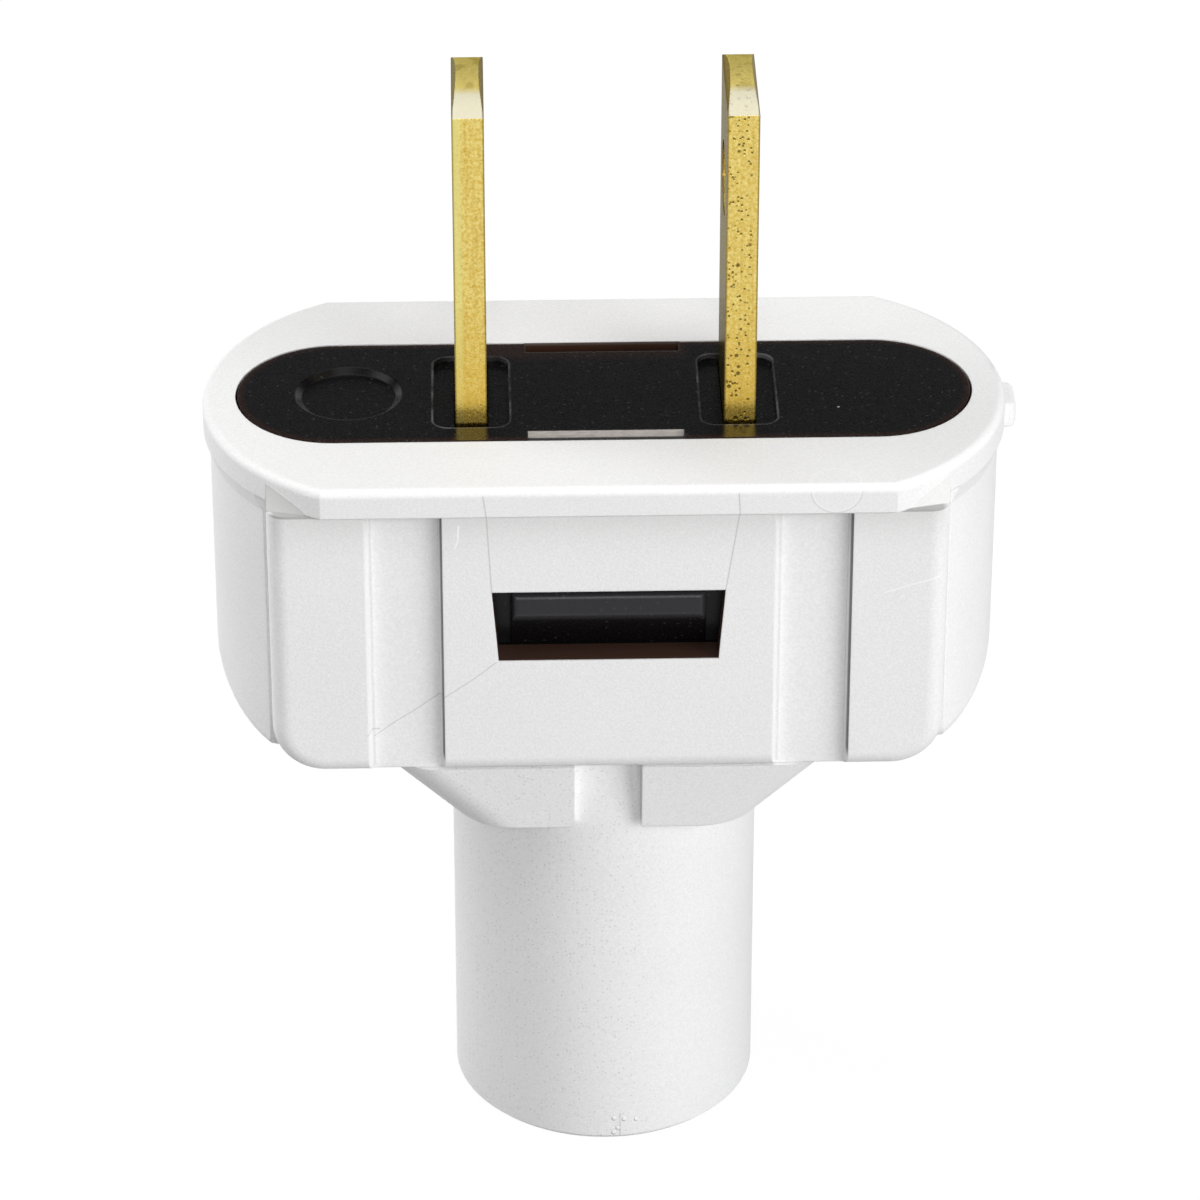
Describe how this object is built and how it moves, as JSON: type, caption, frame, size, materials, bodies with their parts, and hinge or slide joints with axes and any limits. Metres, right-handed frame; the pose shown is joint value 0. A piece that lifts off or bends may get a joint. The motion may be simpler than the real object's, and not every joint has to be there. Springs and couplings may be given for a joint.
{
  "type": "two-blade wiring plug",
  "caption": "Rewirable two-blade mains plug: flattened white shell with a round cord neck, black snap-in core, flat brass blades and screw terminals inside.",
  "frame": {"origin": "centre of the cord neck's open end, on the neck's axis", "axes": "+Z from the neck's end towards the blade tips, X across the two blades, -Y towards the picture's camera"},
  "size_m": [0.0389, 0.0186, 0.0559],
  "materials": {
    "shell_plastic": "fine satin",
    "core_plastic": "semi-gloss",
    "blade_brass": "rolled and sheared",
    "screw_brass": "turned"
  },
  "bodies": {
    "root": {"shell": "shell_plastic", "core": "core_plastic", "blade_left": "blade_brass", "blade_right": "blade_brass", "terminal_screws": "screw_brass"}
  },
  "joints": []
}
